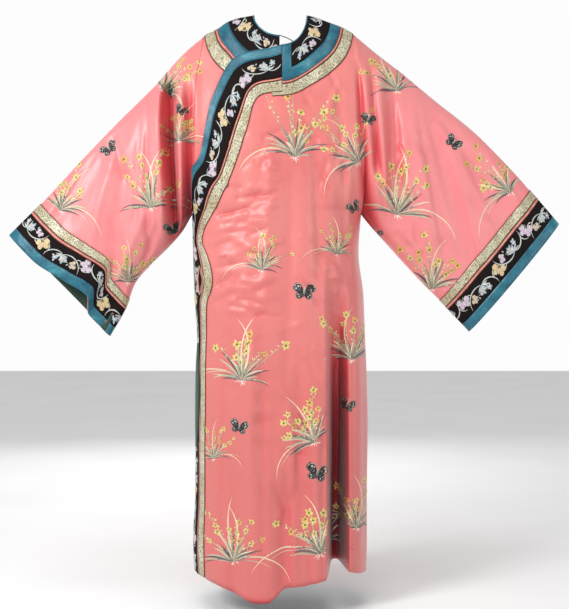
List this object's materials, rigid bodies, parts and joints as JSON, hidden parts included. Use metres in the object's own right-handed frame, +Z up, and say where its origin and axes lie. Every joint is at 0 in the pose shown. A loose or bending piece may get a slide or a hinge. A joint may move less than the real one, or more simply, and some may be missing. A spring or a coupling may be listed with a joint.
{
  "type": "chinese silk robe",
  "caption": "Long side-fastening silk robe with a round neck, wide trumpet sleeves, embroidered cloth and banded collar, overlap, side and cuffs.",
  "frame": {"origin": "midway between the two neck points, at the height where the wearer's shoulders carry the robe", "axes": "+Z up, -Y out of the front, +X towards the wearer's left sleeve (the picture's right)"},
  "size_m": [1.2642, 0.3027, 1.3105],
  "materials": {
    "coral_silk": "satin",
    "teal_satin": "satin",
    "black_satin": "satin",
    "ribbon": "brocade",
    "green_lining": "satin",
    "dark_cord": "matt"
  },
  "bodies": {
    "root": {"front": "coral_silk", "under_front": "coral_silk", "back": "coral_silk", "sleeve_left": "coral_silk", "sleeve_right": "coral_silk", "neck_binding": "teal_satin", "collar_teal": "teal_satin", "front_teal": "teal_satin", "cuff_teal_left": "teal_satin", "cuff_teal_right": "teal_satin", "collar_black": "black_satin", "front_black": "black_satin", "cuff_black_left": "black_satin", "cuff_black_right": "black_satin", "collar_ribbon": "ribbon", "front_ribbon": "ribbon", "cuff_ribbon_left": "ribbon", "cuff_ribbon_right": "ribbon", "lining_roll": "green_lining", "neck_loop": "dark_cord"}
  },
  "joints": []
}
